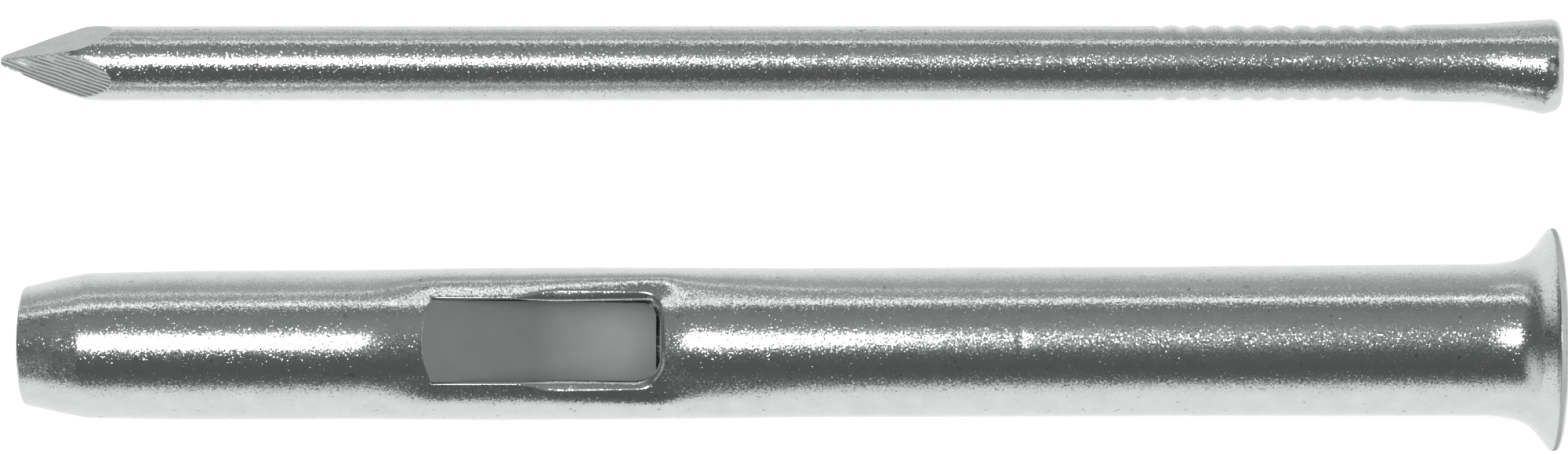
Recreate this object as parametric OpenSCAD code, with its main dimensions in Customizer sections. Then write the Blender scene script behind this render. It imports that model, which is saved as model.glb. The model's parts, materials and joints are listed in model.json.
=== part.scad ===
// Aerated concrete nail: a two-piece steel fastener, laid out side by side.
// The nail is driven into the flanged sleeve. Near the nose of the sleeve it meets a ramp,
// a tongue lanced out of the tube wall, which turns its point out through the window and
// into the soft block. Each piece is one solid: the nail is cut from wire and headed, the
// sleeve is a tube with a drawn-in nose, a flared flange and the pressed window.
//
// Millimetres. +X runs along both pieces to the nail's head and the sleeve's flange, +Y from
// the sleeve to the nail, +Z up. The origin is under the middle of the pair, on the surface
// that it lies on.

/* [Nail] */
// Diameter of the wire
wire_d = 4; // [3.4:0.1:4.4]
// Length from the blunt point to the top of the head
nail_l = 84.4; // [76:0.2:96]
// Angle between the nail's axis and each of the four flat cuts of its point
point_angle = 16.5; // [14:0.5:20]
// Width across the blunt end of the point
point_blunt = 0.32; // [0.1:0.02:0.6]
// Angle between the nail's axis and the lands left between the cuts
land_angle = 18.5; // [17:0.5:24]
// How far the point is turned about the nail's axis
point_turn = 15; // [0:1:45]
// Diameter of the head
head_d = 5.12; // [4.8:0.02:6]
// Length of the flare under the head
head_flare = 3.4; // [2:0.1:5]
// Bevel round the top of the head
head_bevel = 0.45; // [0.2:0.05:0.7]
// Sideways offset of the head, which was upset a little off centre
head_shift = 0.19; // [0:0.01:0.3]
// Length of the swollen neck between the grip marks and the head's top
neck_l = 8; // [6:0.5:12]
// Diameter of the neck just past the grip marks
neck_d = 4.16; // [4.1:0.02:4.5]
// Distance between one grip mark and the next
grip_pitch = 1.18; // [0.9:0.02:1.6]
// Number of grip marks on each side
grip_count = 12; // [4:1:18]
// Depth of each grip mark
grip_depth = 0.05; // [0.02:0.01:0.1]

/* [Sleeve] */
// Outside diameter of the tube
tube_d = 8; // [7.6:0.1:9]
// Thickness of the tube wall
wall = 1; // [0.7:0.05:1.1]
// Length of the sleeve
sleeve_l = 82.3; // [76:0.1:94]
// Outside diameter at the nose face
nose_d = 6.35; // [5.8:0.05:7]
// Angle of the drawn-in nose, from the axis
nose_angle = 12; // [8:0.5:20]
// How much smaller the radius is where the nose begins
nose_relief = 0.1; // [0.02:0.02:0.16]
// Distance from the nose face to the full tube
nose_l = 9; // [6:0.5:14]
// Growth of the radius towards the flange
neck_swell = 0.05; // [0:0.01:0.15]
// Diameter of the flange
flange_d = 11.9; // [10.5:0.1:14]
// Angle of the flare, from the axis
flange_angle = 52; // [40:1:60]
// Radius of the bend between the tube and the flare
flange_bend = 2.3; // [1:0.1:3]
// Width of the trimmed edge of the flange
flange_edge = 0.35; // [0.25:0.05:0.8]
// Rounding of the edges of the nose and the flange
edge_round = 0.12; // [0.05:0.01:0.2]

/* [Window and ramp] */
// Distance from the nose face to the root of the ramp
window_x = 22; // [18:0.2:28]
// Length of the window
window_l = 12.3; // [11:0.1:14]
// Width of the window beside the root of the ramp
window_w = 4.6; // [4.2:0.05:4.8]
// How much the window is wider on each side at its open end
window_flare = 0.12; // [0:0.01:0.3]
// Radius of the window's corners at its open end
window_corner = 1; // [0.5:0.1:1.6]
// Length of the ramp, along its slope
ramp_l = 12.9; // [11:0.1:13.4]
// Gap between the ramp and each side of the window
ramp_gap = 0.05; // [0.03:0.01:0.15]
// Radius of the ramp's free corners
ramp_corner = 0.9; // [0.3:0.1:1.5]
// Clearance between the free end of the ramp and the far wall
ramp_seat = 0.12; // [0.08:0.02:0.4]
// Depth to which the wall is pressed in beside the window
press_depth = 1.2; // [0.6:0.05:1.4]
// Length of the pressed wall in front of the window's middle
press_lead = 10; // [8.5:0.1:12]
// Length of the pressed wall behind the window's middle
press_tail = 14; // [10:0.5:16]
// Growth of the radius at the sides of the window
window_swell = 0.08; // [0:0.01:0.15]

/* [Layout] */
// Distance between the axes of the nail and the sleeve, at mid-length
row_pitch = 15.1; // [11:0.1:30]
// How much further out the nail's point is than the sleeve's nose
nose_inset = 1.55; // [0:0.05:4]
// Turn of the window about the sleeve's axis, towards the nail
window_turn = 4.4; // [0:0.1:10]
// Turn of the sleeve on the surface, its flange towards the nail
sleeve_yaw = 0.26; // [0:0.02:2]

/* [Hidden] */
$fn = 96;

wire_r = wire_d / 2;
head_r = head_d / 2;
neck_r = neck_d / 2;
tube_r = tube_d / 2;
bore_r = tube_r - wall;
flange_r = flange_d / 2;
nose_r = nose_d / 2;
over = 1;                          // how far cutting solids pass what they cut
arc_steps = 8;                     // straight steps in a rounded stretch of a profile

// Points on an arc about c, from angle a0 to a1, as [radius, distance] pairs of a profile
function arc(c, r, a0, a1, n = arc_steps) =
    [for (i = [0:n]) let (a = a0 + (a1 - a0) * i / n) c + r * [cos(a), sin(a)]];

// Straight blend from a to b while t goes from 0 to 1
function mix(a, b, t) = a + (b - a) * t;

// Solid of revolution about X, from a profile of [radius, distance along X] points
module revolved(profile) {
    rotate([0, 90, 0]) rotate_extrude() polygon(profile);
}

// ---- nail ----

land_r0 = 0.48;                                         // radius of the lands at the blunt end
land_end = (wire_r - land_r0) / tan(land_angle);        // where a straight land would meet the wire
shoulder = 1;                                           // length of the round between land and wire
shank_x = land_end + shoulder;                          // start of the full wire
grip_x = nail_l - neck_l;                               // end of the grip marks
rim_x = nail_l - head_bevel;
flare_x = rim_x - head_flare;
flare_swell = 0.35;                                     // share of the flare gained in its first half

// The wire before it is pointed: lands, rounded shoulder, shank and swollen neck
function blank_profile() = [
    [0, 0],
    [land_r0, 0],
    for (t = [0:0.25:1]) let (
        x = mix(land_end - shoulder, shank_x, t),
        r = mix(wire_r - shoulder * tan(land_angle), wire_r, 1 - pow(1 - t, 2))
    ) [r, x],
    [wire_r, grip_x - 0.1],
    [neck_r, grip_x + 0.1],
    [neck_r + 0.09, flare_x],
    [neck_r + 0.14, flare_x + head_flare / 2],
    [0, rim_x - 0.3]
];

// The head: a flare that opens faster towards the rim, a short rim and a bevel
function head_profile() = [
    [0, flare_x - over],
    [wire_r - 0.05, flare_x - over],
    [mix(wire_r, head_r, 0.1), flare_x],
    [mix(wire_r, head_r, flare_swell + 0.1), flare_x + head_flare / 3],
    [mix(wire_r, head_r, flare_swell * 2), flare_x + head_flare * 0.62],
    [head_r, rim_x - 0.2],
    [head_r, rim_x],
    [head_r - head_bevel, nail_l],
    [0, nail_l]
];

// Wedge with its flat faces towards +Y and -Y, whose thin end is the blunt end of the point
module point_wedge() {
    reach = shank_x + wire_d;
    near = point_blunt / 2;
    far = near + reach * tan(point_angle);
    linear_extrude(height = wire_d * 3, center = true)
        polygon([[0, -near], [reach, -far], [reach, far], [0, near]]);
}

// Four flat cuts, all at once: two wedges crossed at right angles
module point_form() {
    intersection() {
        point_wedge();
        rotate([90, 0, 0]) point_wedge();
    }
}

// Shallow grooves on both sides, left by the dies that held the wire while it was headed
module grip_marks() {
    groove_r = grip_pitch / 3;
    for (side = [-1, 1], i = [0:grip_count - 1])
        translate([grip_x - grip_pitch * (i + 0.5), side * (wire_r + groove_r - grip_depth), 0])
            cylinder(r = groove_r, h = wire_d, center = true, $fn = 24);
}

module nail() {
    color("silver")
    rest_nail() {
        difference() {
            union() {
                intersection() {
                    revolved(blank_profile());
                    rotate([-45 - point_turn, 0, 0]) union() {
                        point_form();
                        translate([shank_x + wire_d / 2, 0, 0]) rotate([0, 90, 0]) cylinder(r = wire_d, h = nail_l);
                    }
                }
                translate([0, -head_shift, 0]) revolved(head_profile());
            }
            grip_marks();
        }
    }
}

// ---- sleeve ----

kink_r = tube_r - nose_relief;
kink_x = (kink_r - nose_r) / tan(nose_angle);
mouth_r = tube_r + neck_swell;
mid_x = window_x + window_l / 2;                        // middle of the window
swell_x = sleeve_l * 0.74;                              // start of the growth towards the flange
bend_rise = flange_bend * (1 - cos(flange_angle));
lip_x = sleeve_l - flange_edge;                         // where the flare meets the trimmed edge
bend_end = lip_x - (flange_r - mouth_r - bend_rise) / tan(flange_angle);
bend_x = bend_end - flange_bend * sin(flange_angle);
bend_c = [mouth_r + flange_bend, bend_x];
throat_bend = flange_bend + mouth_r - bore_r;           // bend radius on the mouth side
throat_end = bend_c + throat_bend * [-cos(flange_angle), sin(flange_angle)];
nose_bore_r = nose_r - wall / cos(nose_angle);
nose_bore_l = (bore_r - nose_bore_r) / tan(nose_angle);

// The stretch round the window, where pressing the wall in has spread the tube a little
function window_stretch(r) = [
    [r, mid_x - press_lead],
    [r + window_swell, mid_x - press_lead / 3],
    [r + window_swell, mid_x + press_lead / 3],
    [r, mid_x + press_tail]
];

// Outside of the tube
function outer_profile() = [
    [0, 0],
    [nose_r - edge_round, 0],
    [nose_r + edge_round * tan(nose_angle), edge_round],
    [kink_r, kink_x],
    [tube_r, nose_l],
    each window_stretch(tube_r),
    [tube_r, swell_x],
    [mouth_r, mix(swell_x, bend_x, 0.7)],
    each arc(bend_c, flange_bend, 180, 180 - flange_angle),
    [flange_r, lip_x],
    [flange_r, sleeve_l - edge_round],
    [flange_r - edge_round, sleeve_l],
    [0, sleeve_l]
];

// Bore: narrowed at the nose, straight, and opened into a funnel at the flange
function bore_profile() = [
    [0, -over],
    [nose_bore_r, -over],
    [nose_bore_r, 0],
    [bore_r, nose_bore_l],
    each window_stretch(bore_r),
    each arc(bend_c, throat_bend, 180, 180 - flange_angle),
    throat_end + (sleeve_l + over - throat_end[1]) * [tan(flange_angle), 1],
    [0, sleeve_l + over]
];

// How deep the front wall is pressed in at distance x from the nose face
function press_at(x) =
    let (u = (x - mid_x) / (x < mid_x ? press_lead : press_tail))
    abs(u) >= 1 ? 0 : press_depth * (1 + cos(180 * u)) / 2;

// Everything above the pressed front wall; drop lowers it, to give the inside of that wall
module above_press(drop) {
    steps = 24;
    x0 = mid_x - press_lead;
    x1 = mid_x + press_tail;
    line = [for (i = [0:steps]) let (x = mix(x0, x1, i / steps))
        [x, tube_r + window_swell - drop - press_at(x)]];
    rotate([90, 0, 0]) linear_extrude(height = tube_d * 2, center = true)
        polygon(concat([[x0, tube_d]], line, [[x1, tube_d]]));
}

module pressed_outside() {
    difference() {
        revolved(outer_profile());
        above_press(0);
    }
}

module pressed_bore() {
    difference() {
        revolved(bore_profile());
        above_press(wall);
    }
}

// Outline of the window, seen from the front: its open end is wider and has round corners
module window_outline() {
    end_w = window_w + 2 * window_flare;
    end_x = window_x + window_l;
    translate([window_x, -window_w / 2]) square([window_l / 2, window_w]);
    translate([mid_x, -end_w / 2]) square([window_l / 2 - window_corner, end_w]);
    translate([mid_x, -end_w / 2 + window_corner]) square([window_l / 2, end_w - 2 * window_corner]);
    for (side = [-1, 1])
        translate([end_x - window_corner, side * (end_w / 2 - window_corner)]) circle(r = window_corner);
}

ramp_w = window_w - 2 * ramp_gap;
root_z = tube_r + window_swell - press_at(window_x);
// Height from the root down to where the free end's lower corners come to the far wall
ramp_fall = root_z + sqrt(pow(bore_r, 2) - pow(ramp_w / 2, 2)) - ramp_seat;
ramp_angle = asin(ramp_fall / sqrt(pow(ramp_l, 2) + pow(wall, 2))) - atan(wall / ramp_l);

// Outline of the tongue that forms the ramp, laid flat, with its root at 0
module ramp_outline() {
    root = wall * 1.2;
    translate([-root, -ramp_w / 2]) square([root + ramp_l - ramp_corner, ramp_w]);
    translate([-root, -ramp_w / 2 + ramp_corner]) square([root + ramp_l, ramp_w - 2 * ramp_corner]);
    for (side = [-1, 1])
        translate([ramp_l - ramp_corner, side * (ramp_w / 2 - ramp_corner)]) circle(r = ramp_corner);
}

// The tongue, bent down from the front wall until its free end lies at the far wall
module ramp() {
    intersection() {
        pressed_outside();
        translate([window_x, 0, root_z]) rotate([0, ramp_angle, 0]) translate([0, 0, -wall])
            linear_extrude(height = wall) ramp_outline();
    }
}

module sleeve() {
    color("lightgrey")
    rest_sleeve() {
        difference() {
            pressed_outside();
            pressed_bore();
            linear_extrude(height = tube_d) window_outline();
        }
        ramp();
    }
}

// ---- layout ----

// Each piece lies on the rim at its thick end and on the part of it that touches first
// near its thin end.
nail_tilt = atan((head_r - wire_r) / (rim_x - 0.2 - shank_x));
sleeve_tilt = atan(min([for (p = outer_profile()) if (p[1] > 0 && p[1] < bend_x)
    (flange_r - p[0]) / (lip_x - p[1])]));

flange_lift = (lip_x - sleeve_l / 2) * sin(sleeve_yaw);
pair_w = head_r - head_shift + row_pitch + flange_r - flange_lift;
nail_y = pair_w / 2 - head_r + head_shift;

module rest_nail() {
    translate([-nail_l / 2, nail_y, head_r * cos(nail_tilt) - (rim_x - 0.2) * sin(nail_tilt)])
        rotate([0, -nail_tilt, 0]) children();
}

module rest_sleeve() {
    translate([-nail_l / 2 + nose_inset, nail_y - row_pitch - sleeve_l / 2 * sin(sleeve_yaw),
            flange_r * cos(sleeve_tilt) - lip_x * sin(sleeve_tilt)])
        rotate([0, -sleeve_tilt, sleeve_yaw]) rotate([-window_turn, 0, 0]) children();
}

nail();
sleeve();
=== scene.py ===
"""Looks of the aerated concrete nail: a zinc-plated nail and its flanged sleeve, lying side by
side on a white floor and seen from straight above. Shapes are worked out in each piece's own
millimetres (x from its thin end, z to the front) and set down where the frame's mounts say."""
import json
import math

import bpy
import bmesh
import numpy as np
from mathutils import Matrix, Vector, noise


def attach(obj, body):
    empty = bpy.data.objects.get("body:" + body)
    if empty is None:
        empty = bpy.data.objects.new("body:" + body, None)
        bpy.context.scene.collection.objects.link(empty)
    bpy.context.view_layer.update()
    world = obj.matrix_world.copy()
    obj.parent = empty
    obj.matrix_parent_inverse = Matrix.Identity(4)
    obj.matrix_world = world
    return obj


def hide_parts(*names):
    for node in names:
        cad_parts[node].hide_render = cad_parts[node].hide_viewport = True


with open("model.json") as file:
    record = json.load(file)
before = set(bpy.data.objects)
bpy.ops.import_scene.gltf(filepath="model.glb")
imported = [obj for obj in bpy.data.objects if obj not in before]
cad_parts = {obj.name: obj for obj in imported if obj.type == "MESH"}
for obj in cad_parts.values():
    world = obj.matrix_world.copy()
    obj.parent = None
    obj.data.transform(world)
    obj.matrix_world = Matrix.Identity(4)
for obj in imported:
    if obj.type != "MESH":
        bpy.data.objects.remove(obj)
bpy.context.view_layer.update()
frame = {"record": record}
MM = 0.001

# ---- shared helpers ----

def soft_line(points, blur):
    """Smooth curve past a few (distance, value) points, rounded over about blur mm."""
    step = blur / 8
    x = np.arange(points[0][0] - 4 * blur, points[-1][0] + 4 * blur, step)
    y = np.interp(x, [p[0] for p in points], [p[1] for p in points])
    reach = np.arange(-24, 25)
    weight = np.exp(-0.5 * (reach / 8) ** 2)
    y = np.convolve(np.pad(y, 24, mode="edge"), weight / weight.sum(), mode="valid")
    return lambda s: np.interp(s, x, y)


def smooth(t):
    """Smooth step: 0 below 0, 1 above 1."""
    t = np.clip(t, 0, 1)
    return t * t * (3 - 2 * t)


def spread(start, end, step):
    """Evenly spaced distances from start up to, but without, end."""
    count = max(1, round((end - start) / step))
    return list(np.linspace(start, end, count, endpoint=False))


def arc(centre, radius, a0, a1, count):
    """Points on an arc, as (distance, radius) pairs, without its last point."""
    angles = np.radians(np.linspace(a0, a1, count, endpoint=False))
    return [(centre[0] + radius * math.cos(t), centre[1] + radius * math.sin(t)) for t in angles]


def seat(mount, along, heading, turn=0):
    """Matrix from a piece's own millimetres to the row frame. The named mount is along mm from
    the piece's thin end, heading is +1 where its axis points to the thick end, and turn is the
    angle, in degrees, by which the piece's front leans towards +Y."""
    found = next(m for m in frame["record"]["mounts"] if m["name"] == mount)
    x = Vector(found["axis"]).normalized() * heading
    y = Vector((0, 0, 1)).cross(x).normalized()
    z = x.cross(y)
    base = Matrix((x, y, z)).transposed() @ Matrix.Rotation(math.radians(-turn), 3, "X")
    start = Vector(found["pos_m"]) - x * along * MM
    return Matrix.Translation(start) @ (base.to_4x4() @ Matrix.Scale(MM, 4))


class Shell:
    """Points and faces of a mesh under construction. The faces in cut take the second finish."""

    def __init__(self):
        self.points, self.faces, self.cut = [], [], set()

    def add(self, point):
        """Adds a point and gives its number."""
        self.points.append(point)
        return len(self.points) - 1

    def face(self, *corners, is_cut=False):
        """Adds a face between points with these numbers."""
        if is_cut:
            self.cut.add(len(self.faces))
        self.faces.append(corners)


def mesh_object(name, shell, placed, sharp):
    """Object from a shell in a piece's own millimetres. Edges sharper than sharp stay crisp."""
    used = sorted({i for f in shell.faces for i in f})
    index = {old: new for new, old in enumerate(used)}
    mesh = bpy.data.meshes.new(name)
    mesh.from_pydata([placed @ Vector(shell.points[i]) for i in used], [],
                     [[index[i] for i in f] for f in shell.faces])
    mesh.polygons.foreach_set("material_index", [int(f in shell.cut) for f in range(len(shell.faces))])
    work = bmesh.new()
    work.from_mesh(mesh)
    bmesh.ops.recalc_face_normals(work, faces=work.faces)
    work.to_mesh(mesh)
    work.free()
    mesh.shade_smooth()
    mesh.set_sharp_from_angle(angle=math.radians(sharp))
    piece = bpy.data.objects.new(name, mesh)
    bpy.context.scene.collection.objects.link(piece)
    return piece


class NodeTree:
    """Nodes of a material or a world. Each value that goes into one is plain, or it is the output
    of another node."""

    def __init__(self, owner):
        owner.use_nodes = True
        self.nodes, self.links = owner.node_tree.nodes, owner.node_tree.links

    def put(self, value, socket):
        """Sends a value into one input."""
        if isinstance(value, bpy.types.NodeSocket):
            self.links.new(value, socket)
        else:
            socket.default_value = value

    def fill(self, node, inputs):
        """Sends values into the inputs with these names or numbers."""
        for name, value in inputs.items():
            self.put(value, node.inputs[name])

    def add(self, kind, inputs, output):
        """Adds a node, fills its inputs and gives one of its outputs."""
        node = self.nodes.new("ShaderNode" + kind)
        self.fill(node, inputs)
        return node.outputs[output]

    def work(self, operation, *values, kind="Math"):
        """Arithmetic with one or two values."""
        node = self.nodes.new("ShaderNode" + kind)
        node.operation = operation
        self.fill(node, dict(enumerate(values)))
        return node.outputs[0]

    def mix(self, first, second, share):
        """Colour between two others."""
        node = self.nodes.new("ShaderNodeMix")
        node.data_type = "RGBA"
        self.fill(node, {"A": first, "B": second, "Factor": share})
        return node.outputs["Result"]

    def fade(self, value, start, end, low=0.0, high=1.0, kind="SMOOTHSTEP"):
        """Goes from low to high as the value goes from start to end."""
        node = self.nodes.new("ShaderNodeMapRange")
        node.interpolation_type = kind
        self.fill(node, {"Value": value, "From Min": start, "From Max": end,
                         "To Min": low, "To Max": high})
        return node.outputs["Result"]


# ---- sleeve ----

TUBE_R = 4.0
WALL = 1.0
SLEEVE_L = 82.3
NOSE_R = 3.175
NOSE_ANGLE = 12
KINK_R = 3.9                    # radius where the drawn-in nose begins
FULL_X = 9.0                    # distance to the full tube
RING_X = 53.6                   # distance to a faint mark round the tube
RING_DEPTH = 0.03
NECK_R = 4.05                   # radius of the tube next to the flange
WINDOW_R = TUBE_R + 0.08        # radius of the tube beside the window
FLANGE_R = 5.95
FLANGE_ANGLE = 52
BEND_R = 2.3
BEND_START = (8.4, 11)          # radius of the slow start of the bend, and the angle it reaches
TRIM = 0.42                     # width of the trimmed edge of the flange
TRIM_R = 0.2                    # rounding of that edge at the mouth
TRIM_STEPS = 3                  # steps of the section across that edge
RIM_R = 0.06                    # rounding between the flange's cone and that edge
MOUTH_R = 0.06                  # and at the mouth's inner edge
EDGE_R = 0.12                   # rounding of the nose's edges
WINDOW_TURN = 4.4

ROUND = 144                     # steps round the tube
ZONE = (18.0, 38.0)             # stretch of wall that is meshed round the window
ZONE_STEPS = 80
ZONE_ROWS = 32                  # rows on each side of the front, up to 80 degrees
OUT_MARGIN = 40                 # steps of the section on both sides of the zone that follow the
IN_MARGIN = 30                  # pressed wall, outside and inside
PRESS_FROM = 10                 # nearest distance at which they do, outside
PRESS_INSIDE = (12, 55)         # stretch in which they do, inside
FLAT_ROWS = 11                  # rows between the zone's border and the window's edge
ROLL_ROWS = 6                   # rows over that edge
WALL_ROWS = 5                   # rows through the wall
INNER_ROWS = 3                  # rows over the inner edge
OUTER_EDGE = FLAT_ROWS + ROLL_ROWS
INNER_EDGE = OUTER_EDGE + WALL_ROWS

ROOT_X = 22.2                   # root of the tongue, at its sides
ROOT_BOW = 0.45                 # how much further back the root is in the middle
ROOT_EDGE = 0.13                # width of the soft crease along the root
ROOT_SINK = 0.02                # depth of that crease
ROOT_BACK = 0.19                # how much further back the root is on the inside
WINDOW_END = 34.35
WINDOW_HALF = 2.28
WINDOW_FLARE = 0.04             # extra half-width of the window past its middle,
WIDER_FROM = 26.9               # where that starts, and the distance over which it grows
WIDER_OVER = 1.6
CORNER_TOP = 0.85
CORNER_LOW = 1.3
OPEN_FROM = 26.6                # where the window's edge starts to be rolled and turned in,
OPEN_OVER = 2.4                 # and the distance over which it does
ROLL = (0.13, 0.34)             # radius of the window's edge near the root and at its open end
INNER_ROLL = 0.1                # radius of its inner edge
# Section of the lip that is turned in beside the open end: (distance from the edge, depth)
LIP = ((0, 0.46), (0.03, 0.33), (0.10, 0.235), (0.20, 0.165), (0.32, 0.085), (0.42, 0.025), (0.52, 0))
LIP_END = 0.1                   # how far before the open end that lip ends,
LIP_FADE = 1.2                  # and the distance over which it fades out

TONGUE_END = 34.0
TONGUE_END_Z = -0.75
TONGUE_CORNER = 0.75
TONGUE_GAP = 0.02               # gap between the tongue and each side of the window
TONGUE_SAG = 0.09               # how far it sags below a straight line where it bends,
SAG_AT = 0.42                   # and the share of its length at which it does
TONGUE_CREST = 0.035            # fall to each side, per mm, from the crest along its free half
TONGUE_CROWN = 0.36             # fall to each side at the root, which takes the tube's round
ROOT_SHARE = 0.12               # share of its length over which it comes clear of the tube

# How deep the front wall is pressed in, along the tube
pressed = soft_line([(18.2, 0), (19.4, 0.07), (20.8, 0.30), (22.2, 0.54), (24.5, 0.52), (27, 0.54),
                     (29.3, 0.62), (31.8, 0.71), (33.4, 0.80), (34.45, 0.82), (35.35, 0.55),
                     (36.2, 0.40), (37.2, 0.30), (41, 0.14), (45.2, 0.05), (50, 0)], 0.36)
PRESS_SIDE = 30                 # angle from the front up to which the full depth reaches,
PRESS_FADE = 38                 # and the angle over which it fades out
kink_x = (KINK_R - NOSE_R) / math.tan(math.radians(NOSE_ANGLE))
lip_x = SLEEVE_L - TRIM         # distance at which the flange's cone ends
radius_at = soft_line([(-2, NOSE_R - 2 * math.tan(math.radians(13))), (1.8, 3.59), (kink_x, KINK_R),
                       (FULL_X, TUBE_R), (17.9, TUBE_R), (24.5, WINDOW_R), (31.2, WINDOW_R),
                       (41.8, TUBE_R), (RING_X - 0.2, TUBE_R), (RING_X, TUBE_R - RING_DEPTH),
                       (RING_X + 0.2, TUBE_R), (61, TUBE_R), (74, NECK_R), (84, NECK_R)], 0.16)


def front_wall(a, phi):
    """Point on the outside of the tube; phi is the angle from the front."""
    r = radius_at(a)
    dip = pressed(a) * (1 - smooth((np.abs(np.degrees(phi)) - PRESS_SIDE) / PRESS_FADE))
    return np.array((a, r * math.sin(phi), r * math.cos(phi) - dip))


def wall_point(a, phi, depth):
    """Point at that depth under the outside of the tube, square to it."""
    step = 0.02
    along = front_wall(a + step, phi) - front_wall(a - step, phi)
    across = front_wall(a, phi + step / 4) - front_wall(a, phi - step / 4)
    out = np.cross(along, across)
    return front_wall(a, phi) - depth * out / np.linalg.norm(out)


def inner_angle(a, y):
    """Angle from the front at which the inside of the wall is y mm off the middle."""
    phi = math.asin(y / (TUBE_R - WALL))
    for _ in range(4):
        phi += (y - wall_point(a, phi, WALL)[1]) / ((TUBE_R - WALL) * math.cos(phi))
    return phi


def flange_bend():
    """Distances at which the bend before the flange's cone starts and ends, and the centres of
    its slow start and of the rest of it."""
    slope = math.radians(FLANGE_ANGLE)
    start_r, start_angle = BEND_START
    begin = math.radians(start_angle)
    rise = start_r * (1 - math.cos(begin)) + BEND_R * (math.cos(begin) - math.cos(slope))
    bend_end = lip_x - (FLANGE_R - NECK_R - rise) / math.tan(slope)
    bend_x = bend_end - start_r * math.sin(begin) - BEND_R * (math.sin(slope) - math.sin(begin))
    start_c = (bend_x, NECK_R + start_r)
    bend_c = (bend_x + (start_r - BEND_R) * math.sin(begin),
              start_c[1] - (start_r - BEND_R) * math.cos(begin))
    return bend_x, bend_end, start_c, bend_c


def sleeve_profile():
    """Closed section of the sleeve as (distance, radius) pairs, and the steps at which the
    zone's outside, its inside and the trimmed edge of the flange start."""
    slope = math.radians(FLANGE_ANGLE)
    start_r, start_angle = BEND_START
    bend_x, bend_end, start_c, bend_c = flange_bend()
    wall = NECK_R - (TUBE_R - WALL)
    throat = BEND_R + wall
    throat_end = (bend_c[0] + throat * math.sin(slope), bend_c[1] - throat * math.cos(slope))
    mouth_r = throat_end[1] + (SLEEVE_L - throat_end[0]) * math.tan(slope)
    nose_bore = NOSE_R - WALL / math.cos(math.radians(NOSE_ANGLE))
    nose_bore_l = (TUBE_R - WALL - nose_bore) / math.tan(math.radians(NOSE_ANGLE))

    line = [(0, r) for r in spread(nose_bore + EDGE_R, NOSE_R - EDGE_R, 0.15)]
    line += arc((EDGE_R, NOSE_R - EDGE_R), EDGE_R, 180, 90, 5)
    tube = spread(EDGE_R, kink_x - 0.4, 0.3) + spread(kink_x - 0.4, kink_x + 0.6, 0.1)
    tube += spread(kink_x + 0.6, ZONE[0], 0.5)
    outside = len(line) + len(tube)
    tube += list(np.linspace(*ZONE, ZONE_STEPS + 1)) + spread(ZONE[1] + 0.4, RING_X - 0.6, 0.5)
    tube += spread(RING_X - 0.6, RING_X + 0.8, 0.07) + spread(RING_X + 0.8, bend_x, 1)
    line += [(a, float(radius_at(a))) for a in tube]
    line += arc(start_c, start_r, 270, 270 + start_angle, 8)
    line += arc(bend_c, BEND_R, 270 + start_angle, 270 + FLANGE_ANGLE, 14)
    line += [(a, FLANGE_R - (lip_x - a) * math.tan(slope)) for a in spread(bend_end, lip_x - RIM_R, 0.12)]
    line += arc((lip_x + 0.04, FLANGE_R - RIM_R), RIM_R, 180 - FLANGE_ANGLE, 90, 3)
    trimmed = len(line)
    line += [(a, FLANGE_R) for a in spread(lip_x + 0.04, SLEEVE_L - TRIM_R, 0.1)]
    line += arc((SLEEVE_L - TRIM_R, FLANGE_R - TRIM_R), TRIM_R, 90, 0, 6)
    line += [(SLEEVE_L, r) for r in spread(FLANGE_R - TRIM_R, mouth_r + 0.08, -0.15)]
    line += [(a, mouth_r - (SLEEVE_L - a) * math.tan(slope))
             for a in spread(SLEEVE_L - MOUTH_R, throat_end[0], -0.12)]
    line += arc(bend_c, throat, 270 + FLANGE_ANGLE, 270 + start_angle, 14)
    line += arc(start_c, start_r + wall, 270 + start_angle, 270, 5)
    line += [(a, TUBE_R - WALL) for a in spread(bend_x, ZONE[1] + 0.4, -1.2)]
    inside = len(line)
    line += [(a, float(radius_at(a)) - WALL) for a in np.linspace(ZONE[1], ZONE[0], ZONE_STEPS + 1)]
    line += [(a, TUBE_R - WALL) for a in spread(ZONE[0] - 0.4, nose_bore_l, -0.8)]
    line += [(a, nose_bore + a * math.tan(math.radians(NOSE_ANGLE)))
             for a in spread(nose_bore_l, EDGE_R, -0.4)]
    line += arc((EDGE_R, nose_bore + EDGE_R), EDGE_R, 270, 180, 4)
    return line, outside, inside, trimmed


def window_outline():
    """Edge of the window as four runs of (distance, y) points: upper side, open end, lower side
    and the root of the tongue, each from corner to corner."""
    def half_at(a):
        return WINDOW_HALF + WINDOW_FLARE * smooth((a - WIDER_FROM) / WIDER_OVER)

    def side(sign, corner):
        straight = [(a, sign * half_at(a)) for a in spread(ROOT_X, WINDOW_END - corner, 0.1)]
        bend = arc((WINDOW_END - corner, 0), corner, 90, 45, 8)
        top = half_at(WINDOW_END) - corner
        return straight + [(a, sign * (top + y)) for a, y in bend + arc(
            (WINDOW_END - corner, 0), corner, 45, 44, 1)]

    def end(sign, corner):
        bend = arc((WINDOW_END - corner, 0), corner, 45, 0, 8)
        top = half_at(WINDOW_END) - corner
        return [(a, sign * (top + y)) for a, y in bend] + [(WINDOW_END, sign * top)]

    upper = side(1, CORNER_TOP)
    lower = side(-1, CORNER_LOW)[::-1]
    far = end(1, CORNER_TOP) + end(-1, CORNER_LOW)[::-1]
    root = [(ROOT_X - ROOT_BOW * (1 - (y / WINDOW_HALF) ** 2), y)
            for y in np.linspace(-WINDOW_HALF, WINDOW_HALF, 40)]
    return upper, far, lower, root


def resample(run, count):
    """That many evenly spaced points along a run, without its last point."""
    run = np.array(run, float)
    far = np.concatenate(([0], np.cumsum(np.hypot(*np.diff(run, axis=0).T))))
    at = np.linspace(0, far[-1], count, endpoint=False)
    return list(zip(np.interp(at, far, run[:, 0]), np.interp(at, far, run[:, 1])))


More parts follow.
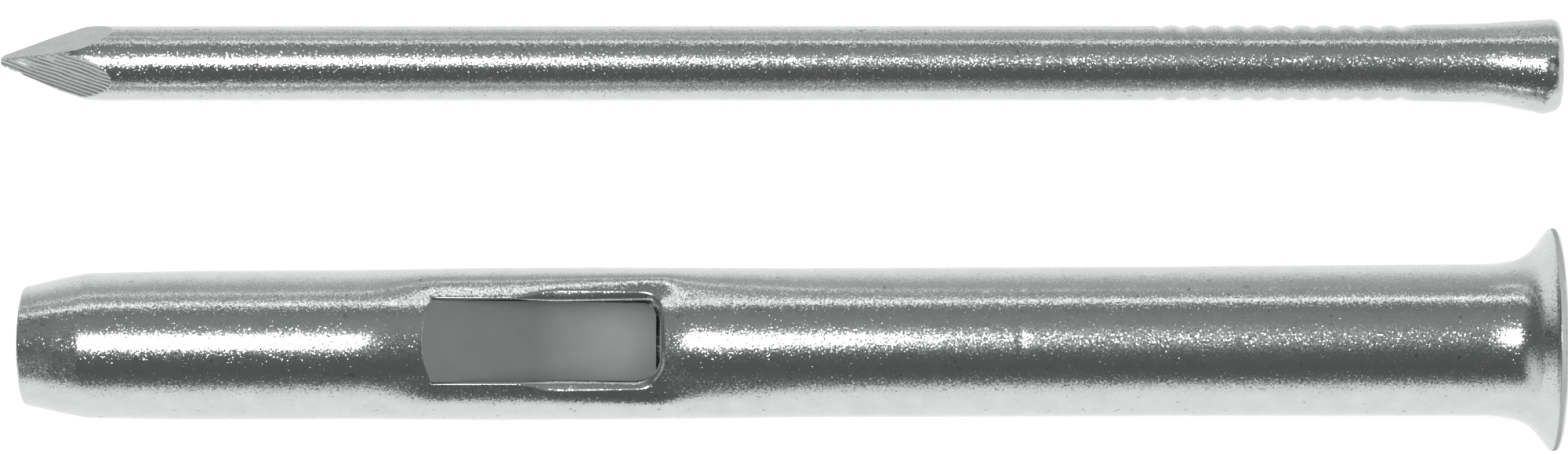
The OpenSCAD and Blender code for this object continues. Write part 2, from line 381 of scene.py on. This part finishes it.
def tube_point(step, a, r, phi, outside, inside):
    """Point of the tube at a step of its section; round the window it follows the pressed wall."""
    if a > PRESS_FROM and outside - OUT_MARGIN <= step < outside + ZONE_STEPS + OUT_MARGIN:
        return front_wall(a, phi)
    on_inside = inside - IN_MARGIN < step < inside + ZONE_STEPS + IN_MARGIN
    if on_inside and PRESS_INSIDE[0] < a < PRESS_INSIDE[1]:
        return wall_point(a, phi, WALL)
    return np.array((a, r * math.sin(phi), r * math.cos(phi)))


def on_line(start, end, length):
    """Function that gives the wall's point at a distance from start and at a depth under the
    outside. Start and end are (distance, angle) pairs that lie length mm apart on the wall."""
    def point(distance, depth):
        t = distance / length
        return wall_point(start[0] + (end[0] - start[0]) * t, start[1] + (end[1] - start[1]) * t, depth)
    return point


def edge_column(shell, outer, inner, length, at_root, open_end, turned):
    """Points from the zone's border over the window's edge and back on the inside. Outer and
    inner give the wall's points, see on_line. At the tongue's root the two faces stay apart, and
    None stands for each point between them."""
    column = []
    reach = [(s / FLAT_ROWS) ** 1.5 for s in range(FLAT_ROWS - 1, -1, -1)]
    roll = ROLL[0] + (ROLL[1] - ROLL[0]) * open_end
    edge_r = ROOT_EDGE if at_root else roll + (LIP[-1][0] - roll) * turned
    for t in reach[:-1]:
        column.append(shell.add(outer(edge_r + (length - edge_r) * t, 0)))
    column.append(shell.add(outer(edge_r, 0)))
    for s in range(ROLL_ROWS - 1, -1, -1):
        beta = math.pi / 2 * s / ROLL_ROWS
        if at_root:
            place = (edge_r * s / ROLL_ROWS, ROOT_SINK * (1 - s / ROLL_ROWS) ** 2)
        else:
            round_edge = (roll * (1 - math.cos(beta)), roll * (1 - math.sin(beta)))
            place = [u + (v - u) * turned for u, v in zip(round_edge, LIP[s])]
        column.append(shell.add(outer(*place)))
    top, low = shell.points[column[-1]], inner(0, WALL - INNER_ROLL)
    for s in range(1, WALL_ROWS):
        column.append(None if at_root else shell.add(top + (low - top) * s / WALL_ROWS))
    for s in range(INNER_ROWS + 1):
        beta = math.pi / 2 * s / INNER_ROWS
        if at_root:
            place = (ROOT_BACK + INNER_ROLL * s / INNER_ROWS, WALL)
        else:
            place = (INNER_ROLL * (1 - math.cos(beta)), WALL - INNER_ROLL * (1 - math.sin(beta)))
        column.append(shell.add(inner(*place)))
    begin = INNER_ROLL + ROOT_BACK * at_root
    for t in reach[::-1][1:]:
        column.append(shell.add(inner(begin + (length - begin) * t, WALL)))
    return column


def window_ring(shell, line, outside, inside, at):
    """Wall between the meshed zone's border and the window, over its edge to the inside. Gives
    the columns of points where the tongue is rooted, from corner to corner."""
    n, m = ZONE_STEPS, 2 * ZONE_ROWS
    border = [(outside + s, ZONE_ROWS) for s in range(n)]
    border += [(outside + n, ZONE_ROWS - s) for s in range(m)]
    border += [(outside + n - s, -ZONE_ROWS) for s in range(n)]
    border += [(outside, -ZONE_ROWS + s) for s in range(m)]
    runs = window_outline()
    edge = [p for run, count in zip(runs, (n, m, n, m)) for p in resample(run, count)]
    upper_side, lower_side = range(n), range(n + m, 2 * n + m)
    root_side = range(2 * n + m, 2 * n + 2 * m)
    ring = []
    for k, ((i, j), (wa, wy)) in enumerate(zip(border, edge)):
        far = (line[i][0], 2 * math.pi * j / ROUND)
        near = (wa, math.asin(wy / radius_at(wa)))
        length = math.hypot(far[0] - near[0], TUBE_R * (far[1] - near[1]))
        at_root = k in root_side and k != root_side[0]
        open_end = float(smooth((wa - OPEN_FROM) / OPEN_OVER))
        beside = k in upper_side or k in lower_side
        turned = open_end * float(smooth((WINDOW_END - wa - LIP_END) / LIP_FADE)) * beside
        outer, inner = on_line(near, far, length), on_line((wa, inner_angle(wa, wy)), far, length)
        column = [at(i, j)]
        column += edge_column(shell, outer, inner, length, at_root, open_end, turned)
        column.append(at(inside + n - (i - outside), j))
        ring.append(column)
    for k in range(len(ring)):
        here, there = ring[k], ring[(k + 1) % len(ring)]
        for s in range(len(here) - 1):
            between = OUTER_EDGE <= s < INNER_EDGE
            if not (between and k in root_side):
                shell.face(here[s], there[s], there[s + 1], here[s + 1], is_cut=between)
    return [ring[k] for k in root_side] + [ring[0]]


def tongue(shell, root):
    """The tongue, as closed loops of points from its root to its free end."""
    top0 = [shell.points[c[OUTER_EDGE]] for c in root]
    low0 = [shell.points[c[INNER_EDGE]] for c in root]
    first = ([c[OUTER_EDGE] for c in root] + root[-1][OUTER_EDGE + 1:INNER_EDGE]
             + [c[INNER_EDGE] for c in root[::-1]] + root[0][OUTER_EDGE + 1:INNER_EDGE][::-1])
    mid_top = top0[len(root) // 2]
    fall = (mid_top[2] - TONGUE_END_Z) / (TONGUE_END - mid_top[0])
    tilt = math.atan(fall)
    half = WINDOW_HALF - TONGUE_GAP

    def plate(a, y, s):
        """Height of the tongue's top at share s of its length."""
        bow = s + 0.05 * (y / half) ** 2
        sag = TONGUE_SAG * min(bow / SAG_AT, (1 - bow) / (1 - SAG_AT))
        crest = TONGUE_CREST * smooth((s - 0.5) / 0.4) * abs(y - 0.05)
        crown = TONGUE_CROWN * (1 - smooth(s / 0.45)) * (y / half) ** 2
        return mid_top[2] - fall * (a - mid_top[0]) - crown - sag - crest

    loops = [first]
    stations = [t * ROOT_SHARE for t in np.linspace(0, 1, 8)[1:]]
    stations += list(np.linspace(ROOT_SHARE, 0.9, 30)[1:])
    stations += [0.9 + 0.1 * math.sin(math.pi / 2 * t) for t in np.linspace(0, 1, 14)[1:]]
    thick = np.array((math.sin(tilt), 0, math.cos(tilt))) * WALL
    under = WALL / math.cos(tilt)
    for s in stations:
        past = max(0, (s - 1) * (TONGUE_END - ROOT_X) + TONGUE_CORNER)
        width = half - TONGUE_CORNER + math.sqrt(max(0, TONGUE_CORNER ** 2 - past ** 2))
        near = 1 - smooth(s / ROOT_SHARE)
        top, low = [], []
        for t0, l0 in zip(top0, low0):
            y = t0[1] / WINDOW_HALF * (half + (WINDOW_HALF - half) * near) * width / half
            a = t0[0] + (TONGUE_END - t0[0]) * s
            miss = t0[2] - plate(t0[0], t0[1], 0)
            top.append(np.array((a, y, plate(a, y, s) + miss * near)))
            la = l0[0] + (TONGUE_END - thick[0] - l0[0]) * s
            low_miss = l0[2] - (plate(l0[0], t0[1], 0) - under)
            low.append(np.array((la, y, plate(la, y, s) - under + low_miss * near)))
        loop = list(top)
        loop += [top[-1] + (low[-1] - top[-1]) * w / WALL_ROWS for w in range(1, WALL_ROWS)]
        loop += low[::-1]
        loop += [low[0] + (top[0] - low[0]) * w / WALL_ROWS for w in range(1, WALL_ROWS)]
        loops.append([shell.add(p) for p in loop])
    for here, there in zip(loops, loops[1:]):
        for s in range(len(here)):
            e = (s + 1) % len(here)
            shell.face(here[s], here[e], there[e], there[s], is_cut=True)
    tongue_end(shell, loops[-1], len(root))


def tongue_end(shell, last, count):
    """Closes the tongue's free end. Count is the number of points across its top."""
    up = last[:count]
    down = last[count + WALL_ROWS - 1:2 * count + WALL_ROWS - 1][::-1]
    sides = {0: last[2 * count + WALL_ROWS - 1:][::-1], count - 1: last[count:count + WALL_ROWS - 1]}
    grid = []
    for v in range(count):
        inner = sides.get(v)
        if inner is None:
            shares = [w / WALL_ROWS for w in range(1, WALL_ROWS)]
            inner = [shell.add(shell.points[up[v]] * (1 - t) + shell.points[down[v]] * t) for t in shares]
        grid.append([up[v], *inner, down[v]])
    for here, there in zip(grid, grid[1:]):
        for w in range(WALL_ROWS):
            shell.face(here[w], there[w], there[w + 1], here[w + 1], is_cut=True)


def build_sleeve():
    """The revolved wall, the ring of wall round the window, and the tongue."""
    line, outside, inside, trimmed = sleeve_profile()
    shell = Shell()
    for step, (a, r) in enumerate(line):
        for j in range(ROUND):
            phi = 2 * math.pi * j / ROUND
            if phi > math.pi:
                phi -= 2 * math.pi
            shell.add(tube_point(step, a, r, phi, outside, inside))

    def at(i, j):
        return (i % len(line)) * ROUND + j % ROUND

    for i in range(len(line)):
        in_zone = outside <= i < outside + ZONE_STEPS or inside <= i < inside + ZONE_STEPS
        for j in range(-ZONE_ROWS, ROUND - ZONE_ROWS):
            if not (in_zone and j < ZONE_ROWS):
                shell.face(at(i, j), at(i + 1, j), at(i + 1, j + 1), at(i, j + 1),
                           is_cut=trimmed <= i < trimmed + TRIM_STEPS)
    tongue(shell, window_ring(shell, line, outside, inside, at))
    return mesh_object("sleeve_shell", shell, seat("tube_outside", 50, -1, WINDOW_TURN), 28)


# ---- nail ----

WIRE_R = 2.0
NAIL_L = 84.4
POINT_ANGLE = 16.2
LAND_ANGLE = 18.5
BLUNT = 0.21                    # half the width across the blunt end of the point
BLUNT_START = 0.06              # how much of the end's rounding is missing at the very tip
BLUNT_ROUND = 0.3               # length of that rounding
LAND_R0 = 0.48                  # radius of the lands at the tip
FACETS = (-30, 60, 150, 240)    # way that each flat cut of the point faces, from the front to +Y
HEAD_R = 2.56
HEAD_BEVEL = 0.45
HEAD_SHIFT = 0.19
HEAD_FLARE = 3.4                # length of the flare before the head's rim
BEVEL_SKEW = 0.5                # extra width of the head's bevel on its lower side
NICK = (-0.03, 0.13, 0.14)      # nick in that bevel: angle and half-width in radians, and depth
NICK_L = 0.45                   # how far the nick reaches down the flare,
NICK_END_R = 1.9                # and the radius at which it ends on the head's end face
GRIP_END = 76.4
GRIP_PITCH = 1.18
GRIP_COUNT = 12
GRIP_DEPTH = 0.07
GRIP_WIDTH = 0.45               # reach of a grip mark round the wire, as a share of its radius
GRIP_FLASH = 0.06               # how far the sides stand out just past the grip marks
RIDGES = (0.075, 0.03, 0.03, 0.07)  # half the width of the round left between neighbouring cuts
TORN_END = 4.0                  # the first of them is torn, up to this distance
TORN_DEPTH = 0.09
TORN_CREST = 0.08
RIB_PITCH = 0.19                # distance between the shear ribs of the front cut
RIB_SLANT = 18.4
RIB_DEPTH = 0.045
FINE_PITCH = 0.14               # the same for the finer marks of the other cuts
FINE_DEPTH = 0.003
FACET_STEPS = (96, 40, 24, 32)  # steps across each flat cut
LAND_STEPS = 14                 # steps across the round between two cuts
CUT_SHARE = 0.9975              # share of the radius past which a flat cut no longer shows
STEP_SPREAD = (4, 33)           # half the angle of a cut's steps where it ends, and past it
TIP_SHIFT = 0.1                 # how far the tip is bent towards +Y

land_end = (WIRE_R - LAND_R0) / math.tan(math.radians(LAND_ANGLE))
apex = (WIRE_R - BLUNT) / math.tan(math.radians(POINT_ANGLE))     # where the flat cuts end
grip_start = GRIP_END - GRIP_PITCH * GRIP_COUNT
rim_x = NAIL_L - HEAD_BEVEL
flare_x = rim_x - HEAD_FLARE
wire_at = soft_line([(-1, LAND_R0 - math.tan(math.radians(LAND_ANGLE))), (land_end, WIRE_R),
                     (GRIP_END, WIRE_R), (80.2, WIRE_R + 0.12), (81, 2.2), (81.6, 2.29), (82.6, 2.42),
                     (83.3, 2.51), (83.8, HEAD_R), (90, HEAD_R)], 0.22)


def rough(x, y, z=0.0):
    """Smooth noise between -1 and 1."""
    return noise.noise(Vector((x, y, z)))


def nail_corner(a, worn):
    """Radius of the round that is left on a ridge, worn that far on each side, and the angle
    from the middle of the flat cut beside it to where they meet."""
    flat = BLUNT + a * math.tan(math.radians(POINT_ANGLE))
    r = min(float(wire_at(a)), flat / math.cos(math.pi / 4 - worn / (flat * math.sqrt(2))))
    return (r, None) if flat >= r * CUT_SHARE else (r, math.acos(flat / r))


def rib_cut(a, y, facing):
    """Depth of the shear marks at a place on a flat cut."""
    slant = math.radians(RIB_SLANT)
    if facing == FACETS[0]:
        across = -y * math.cos(slant) - a * math.sin(slant)
        wave = across / RIB_PITCH + 0.35 * rough(a * 0.8, y * 1.5)
        height = RIB_DEPTH * (0.65 + 0.5 * rough(a * 0.5, across * 4, 3))
    else:
        across = y * math.cos(slant) - a * math.sin(slant)
        wave = across / FINE_PITCH + 0.8 * rough(a, y * 2, facing)
        height = FINE_DEPTH
    return height * (0.5 + 0.5 * math.sin(2 * math.pi * wave))


def nail_section(a):
    """Section of the nail at distance a, as (angle, radius) pairs: four flat cuts and the round
    left between them. Past the point, the same steps go evenly round the wire."""
    flat = BLUNT + a * math.tan(math.radians(POINT_ANGLE))
    blunt = math.sqrt(1 - max(0, 1 - (a + BLUNT_START) / BLUNT_ROUND) ** 2)
    corners = [nail_corner(a, worn) for worn in RIDGES]
    narrow, even = (math.radians(t) for t in STEP_SPREAD)
    opened = narrow + (even - narrow) * smooth((a - apex) / 1.5)
    section = []
    for side, facing in enumerate(FACETS):
        before = corners[side - 1][1]
        round_r, after = corners[side]
        low, high = -(before or opened), after or opened
        mid = math.radians(facing)
        for s in range(FACET_STEPS[side]):
            off = low + (high - low) * s / FACET_STEPS[side]
            r = round_r
            if after is not None:
                r = flat / math.cos(off)
                r -= rib_cut(a, r * math.sin(mid + off), facing) / math.cos(off)
            section.append((mid + off, r * blunt))
        start, end = mid + high, mid + math.pi / 2 - high
        for s in range(LAND_STEPS):
            r = round_r
            if side == 0 and a < TORN_END:
                r -= TORN_DEPTH * abs(rough(a * 5, s * 0.3)) * min(1, s / 3, (LAND_STEPS - s) / 3)
                r += TORN_CREST * max(0, rough(a * 3, 7)) * math.sin(math.pi * s / LAND_STEPS) - 0.01
            section.append((start + (end - start) * s / LAND_STEPS, r * blunt))
    return section


def grip_cut(a, phi):
    """Depth of the grip marks, which is below 0 on the crests between them."""
    if not grip_start < a < GRIP_END:
        return 0
    wave = 0.5 - 0.5 * math.cos(2 * math.pi * (a - grip_start) / GRIP_PITCH)
    across = math.cos(phi) / GRIP_WIDTH
    return GRIP_DEPTH * (1.5 * wave ** 4 - 0.5 * (1 - wave) ** 4) * math.exp(-across ** 2)


def nick_cut(a, phi):
    """Depth of the nick in the head's bevel."""
    angle, half_width, depth = NICK
    turn = math.remainder(phi, 2 * math.pi)
    near = float(smooth((a - rim_x + NICK_L) / NICK_L))
    return depth * math.exp(-((turn - angle) / half_width) ** 2) * near


def place_section(shell, a, section):
    """Adds a section's points, with the tip bent, the head off centre and its bevel skewed."""
    shift = TIP_SHIFT * (1 - min(1, a / apex)) ** 2
    shift -= HEAD_SHIFT * smooth((a - flare_x + 0.5) / (HEAD_FLARE + 0.5))
    bevelled = smooth(a - rim_x + 1) * (1 if a < rim_x else (NAIL_L - a) / HEAD_BEVEL)
    flash = GRIP_FLASH * float(np.interp(a, [GRIP_END - 0.1, GRIP_END + 0.08, flare_x], [0, 1, 0]))
    for phi, r in section:
        r += flash * smooth((abs(math.sin(phi)) - 0.6) / 0.35)
        r -= grip_cut(a, phi)
        if r > NICK_END_R:
            r -= nick_cut(a, phi)
        wide = BEVEL_SKEW * max(0, -math.sin(phi)) + 0.06 * rough(phi * 3, 5)
        shell.add((a - wide * bevelled, r * math.sin(phi) + shift, r * math.cos(phi)))


def build_nail():
    """The nail, as sections from its point to the middle of its head."""
    stations = spread(0, 0.24, 0.03) + spread(0.24, apex, 0.05) + spread(apex, apex + 1, 0.1)
    stations += spread(apex + 1, 60, 1.4)
    stations += spread(60, grip_start, 0.5) + spread(grip_start, GRIP_END, GRIP_PITCH / 10)
    stations += spread(GRIP_END, 77, 0.06) + spread(77, flare_x, 0.25) + spread(flare_x, rim_x, 0.12)
    sections = [(a, nail_section(a)) for a in stations]
    rim = [(rim_x + HEAD_BEVEL * math.sin(t), HEAD_R - HEAD_BEVEL * (1 - math.cos(t)))
           for t in np.radians(np.linspace(0, 90, 10))]
    rim += [(NAIL_L, r) for r in (HEAD_R - HEAD_BEVEL - 0.3, 1.2, 0.6)]
    angles = [phi for phi, _ in sections[-1][1]]
    sections += [(a, [(phi, r) for phi in angles]) for a, r in rim]
    shell = Shell()
    for a, section in sections:
        place_section(shell, a, section)

    # How far the cut finish reaches, at each step round the nail
    cut_end = []
    for side in range(4):
        cut_end += [apex] * FACET_STEPS[side] + [TORN_END if side == 0 else 0] * LAND_STEPS
    count = len(cut_end)
    for i in range(len(sections) - 1):
        for j in range(count):
            e = (j + 1) % count
            shell.face(i * count + j, i * count + e, (i + 1) * count + e, (i + 1) * count + j,
                       is_cut=sections[i + 1][0] < cut_end[j])
    final = (len(sections) - 1) * count
    tip, top = shell.add((0, 0, 0)), shell.add((NAIL_L, -HEAD_SHIFT, 0))
    for j in range(count):
        e = (j + 1) % count
        shell.face(tip, e, j)
        shell.face(top, final + j, final + e)
    return mesh_object("nail_wire", shell, seat("nail_shank", 40, -1), 11)


# ---- finish ----

ZINC = (0.672, 0.695, 0.687)    # colour of the plating
TONES = (0.95, 1.03)            # darkest and lightest tone of a finish, as shares of its colour
SPECK_TONE = 0.68               # tone of the dark specks
SPECK_RANGE = (0.78, 0.84)      # levels of the noise between which a speck sets in
NOISE_RANGE = (0.3, 0.7)        # usual levels of the noise
GLOSS_SPREAD = (0.85, 1.2)      # least and most roughness, as shares of a finish's own
TONE_SCALE = 900                # fineness of the tones, the gloss, the specks and the grain,
GLOSS_SCALE = 2500              # per metre
SPECK_SCALE = 2600
GRAIN_SCALE = 9500
GRAIN_LEAST = 0.01              # least lean of the grain
PAINTED_LIGHT_FROM = 27.5              # painted light: the tongue's colour grows brighter from here to its free end, where it gains this share of its colour, standing in for light that reaches that end
PAINTED_LIGHT_GAIN = 1.6                    # where it gains this share of its colour


def shade(base, share):
    """That share of a colour."""
    return (*[c * share for c in base], 1)


def zinc(name, base, metal, gloss, grain, painted_light=None):
    """Zinc plating. Metal is below 1 where it is matte, gloss is its roughness, and grain says
    how far its fine grain leans to and fro, so that it glitters. The last argument is painted
    light, (start, end, share): past start the colour grows brighter along X, by that share at end."""
    material = bpy.data.materials.new(name)
    tree = NodeTree(material)
    place = tree.add("TexCoord", {}, "Object")

    def speckle(scale, detail, output="Fac"):
        return tree.add("TexNoise", {"Vector": place, "Scale": scale, "Detail": detail}, output)

    def spread_over(source, low, high, ends=NOISE_RANGE):
        return tree.fade(source, *ends, low, high, "LINEAR")

    def work(operation, *values):
        return tree.work(operation, *values, kind="VectorMath")

    colour = tree.mix(*[shade(base, t) for t in TONES], spread_over(speckle(TONE_SCALE, 3), 0, 1))
    if metal == 1:
        found = spread_over(speckle(SPECK_SCALE, 0), 0, 1, SPECK_RANGE)
        colour = tree.mix(colour, shade(base, SPECK_TONE), found)
    # Painted light: the colour grows brighter along X towards the tongue's free end
    if painted_light:
        start, end, share = painted_light
        along = tree.add("SeparateXYZ", {"Vector": place}, "X")
        colour = work("MULTIPLY", colour, spread_over(along, 1, 1 + share, (start, end)))

    lean = work("SUBTRACT", speckle(GRAIN_SCALE, 1.5, "Color"), (0.5, 0.5, 0.5))
    size = work("ADD", work("MULTIPLY", lean, lean), (GRAIN_LEAST, GRAIN_LEAST, GRAIN_LEAST))
    lean = work("MULTIPLY", work("MULTIPLY", lean, size), (grain, grain, grain))
    normal = work("ADD", tree.add("NewGeometry", {}, "Normal"), lean)
    tree.fill(tree.nodes["Principled BSDF"], {
        "Base Color": colour, "Metallic": metal,
        "Roughness": spread_over(speckle(GLOSS_SCALE, 2), *[gloss * t for t in GLOSS_SPREAD]),
        "Normal": work("NORMALIZE", normal)})
    return material


def add_finishes(sleeve, nail):
    """Gives each piece its plating and the finish of its cut faces."""
    tongue_seat = seat("tube_outside", 50, -1, WINDOW_TURN)
    tongue_x = [(tongue_seat @ Vector((a, 0, 0))).x for a in (PAINTED_LIGHT_FROM, TONGUE_END)]
    bright = zinc("zinc_bright", ZINC, metal=1, gloss=0.155, grain=11)
    satin = zinc("zinc_satin", ZINC, metal=1, gloss=0.18, grain=16)
    sheared = zinc("zinc_sheared", (0.56, 0.58, 0.572), metal=0.9, gloss=0.3, grain=8)
    # The tongue's matte finish carries painted light, brighter towards its free end
    matte = zinc("zinc_matte", (0.147, 0.153, 0.151), metal=0.1, gloss=0.5, grain=8,
                 painted_light=(*tongue_x, PAINTED_LIGHT_GAIN))
    for piece, finishes in ((sleeve, (bright, matte)), (nail, (satin, sheared))):
        for finish in finishes:
            piece.data.materials.append(finish)


# ---- studio ----

# Brightness of the room, seen from the pieces, by the angle in degrees from straight up towards
# the nail's side (+) or the sleeve's side (-); beyond 90 it is the white table
ROOM = ((-180, 1), (-92, 1), (-78, 0.92), (-71, 0.72), (-64, 0.22), (-56, 0.13), (-42, 0.11),
        (-28, 0.12), (-12, 0.13), (0, 0.16), (20, 0.26), (30, 0.28), (42, 0.27), (54, 0.21), (61, 0.26),
        (64.5, 0.6), (66, 2.2), (68.5, 2.2), (70, 0.4), (78, 0.36), (85, 0.38), (91, 0.42), (105, 0.5),
        (118, 0.72), (132, 0.95), (180, 1))
POINT_END = 0.14                # brightness of the room's end beyond the points, and of its part
POINT_END_SIDE = 0.85           # on the sleeve's side
HEAD_END = 0.8                  # brightness of its end beyond the heads
STRIP_AT = 88                   # angle of the thin light on the nail's side,
STRIP_HALF = (1, 2.5)           # and of half its width, where it is full and where it ends
GLOW_AT = 6                     # angle of the glow round the key lamp,
GLOW_REACH = 26                 # the angle over which it fades out, and its strength
GLOW = 0.42
FLOOR_HALF = 1.5
FLOOR_TONE = 0.7
FLOOR_GLOW = 0.45               # light that the floor adds for the camera alone
FLOOR_DROP = 0.00002            # gap under the pieces
CAMERA_AT = (0.00025, 0.00036, 0.309)


def room_light(tree, along, across, up):
    """Brightness of the room in the direction (along, across, up)."""
    work, fade = tree.work, tree.fade
    lean = work("ARCTAN2", across, up)
    tip = work("ARCTAN2", along, up)

    def blend(first, second, share):
        return work("ADD", work("MULTIPLY", first, work("SUBTRACT", 1.0, share)),
                    work("MULTIPLY", second, share))

    def away_from(angle):
        return work("ABSOLUTE", work("SUBTRACT", lean, math.radians(angle)))

    ramp = tree.nodes.new("ShaderNodeValToRGB")
    marks = ramp.color_ramp.elements
    while len(marks) < len(ROOM):
        marks.new(0.5)
    for mark, (angle, level) in zip(marks, ROOM):
        mark.position = (angle + 180) / 360
        mark.color = (level, level, level, 1)
    tree.put(fade(lean, -math.pi, math.pi, kind="LINEAR"), ramp.inputs["Fac"])

    # The ends of the room above the table: dark beyond the points, light beyond the heads
    points_end = fade(across, -0.6, -0.1, POINT_END_SIDE, POINT_END)
    beyond = blend(points_end, HEAD_END, fade(along, -0.2, 0.2))
    share = work("MULTIPLY", fade(work("ABSOLUTE", along), 0.45, 0.85), fade(up, -0.3, -0.05))
    room = blend(ramp.outputs["Color"], beyond, share)

    # A thin light low on the nail's side, and the glow round the key lamp, which both fade
    # towards the heads
    full, ended = (math.radians(t) for t in STRIP_HALF)
    strip = work("MULTIPLY", fade(away_from(STRIP_AT), ended, full), fade(along, 0.06, -0.06))
    glow = work("MULTIPLY", fade(away_from(GLOW_AT), math.radians(GLOW_REACH), 0.0),
                fade(tip, math.radians(9), math.radians(-7)))
    glow = work("MULTIPLY", glow, fade(tip, math.radians(-32), math.radians(-22)))
    return work("ADD", work("ADD", room, work("MULTIPLY", glow, GLOW)), strip)


def studio_world():
    """The room that the metal mirrors. Where the camera sees past the floor, it is plain white."""
    world = bpy.data.worlds.new("studio")
    bpy.context.scene.world = world
    tree = NodeTree(world)
    tree.nodes.clear()
    split = tree.nodes.new("ShaderNodeSeparateXYZ")
    tree.put(tree.add("TexCoord", {}, "Generated"), split.inputs["Vector"])
    level = room_light(tree, *[split.outputs[axis] for axis in "XYZ"])
    direct = tree.add("LightPath", {}, "Is Camera Ray")
    mirrored = tree.work("MULTIPLY", level, tree.work("SUBTRACT", 1.0, direct))
    sky = tree.add("Background", {"Color": (1, 1, 1, 1),
                                  "Strength": tree.work("ADD", mirrored, direct)}, "Background")
    tree.put(sky, tree.nodes.new("ShaderNodeOutputWorld").inputs["Surface"])


def soft_lamp(name, place, size, power):
    """Rectangular lamp that faces the middle of the floor."""
    lamp = bpy.data.lights.new(name, "AREA")
    lamp.shape = "RECTANGLE"
    lamp.size, lamp.size_y = size
    lamp.energy = power
    holder = bpy.data.objects.new(name, lamp)
    bpy.context.scene.collection.objects.link(holder)
    holder.location = place
    holder.rotation_euler = (Vector((0, 0, 0)) - Vector(place)).to_track_quat("-Z", "Y").to_euler()
    return holder


def floor_white():
    """Matte white, a little brighter to the camera than it is lit."""
    material = bpy.data.materials.new("floor_white")
    tree = NodeTree(material)
    tree.nodes.clear()
    cloth = tree.add("BsdfDiffuse", {"Color": (FLOOR_TONE, FLOOR_TONE, FLOOR_TONE, 1)}, "BSDF")
    level = tree.work("MULTIPLY", tree.add("LightPath", {}, "Is Camera Ray"), FLOOR_GLOW)
    glow = tree.add("Emission", {"Color": (1, 1, 1, 1), "Strength": level}, "Emission")
    both = tree.add("AddShader", {0: cloth, 1: glow}, "Shader")
    tree.put(both, tree.nodes.new("ShaderNodeOutputMaterial").inputs["Surface"])
    return material


def white_floor():
    """Stage under the pieces, which the metal doesn't mirror: the world shows the table in it."""
    floor_mesh = bpy.data.meshes.new("floor")
    corners = [(x * FLOOR_HALF, y * FLOOR_HALF, 0) for x, y in ((-1, -1), (1, -1), (1, 1), (-1, 1))]
    floor_mesh.from_pydata(corners, [], [(0, 1, 2, 3)])
    floor = bpy.data.objects.new("floor", floor_mesh)
    bpy.context.scene.collection.objects.link(floor)
    floor_mesh.materials.append(floor_white())
    floor.location.z = -FLOOR_DROP
    floor.visible_glossy = False


def camera():
    """Long lens, straight down from above the middle of the pair."""
    lens = bpy.data.cameras.new("camera")
    lens.lens = 130
    lens.sensor_width = 36
    lens.clip_start = 0.01
    eye = bpy.data.objects.new("camera", lens)
    bpy.context.scene.collection.objects.link(eye)
    eye.location = CAMERA_AT
    bpy.context.scene.camera = eye


sleeve = build_sleeve()
nail = build_nail()
add_finishes(sleeve, nail)
for piece, node in ((sleeve, "sleeve"), (nail, "nail")):
    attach(piece, "root")
    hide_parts(node)

studio_world()
soft_lamp("key", place=(-0.246, 0.085, 1.0), size=(0.317, 0.31), power=2.2)
fill = soft_lamp("fill", place=(0, 0, 1.4), size=(2.0, 2.0), power=22)
fill.visible_glossy = False
nail.visible_glossy = False             # each piece is lit as if it lay alone
white_floor()
camera()
bpy.context.scene.view_settings.view_transform = "Standard"
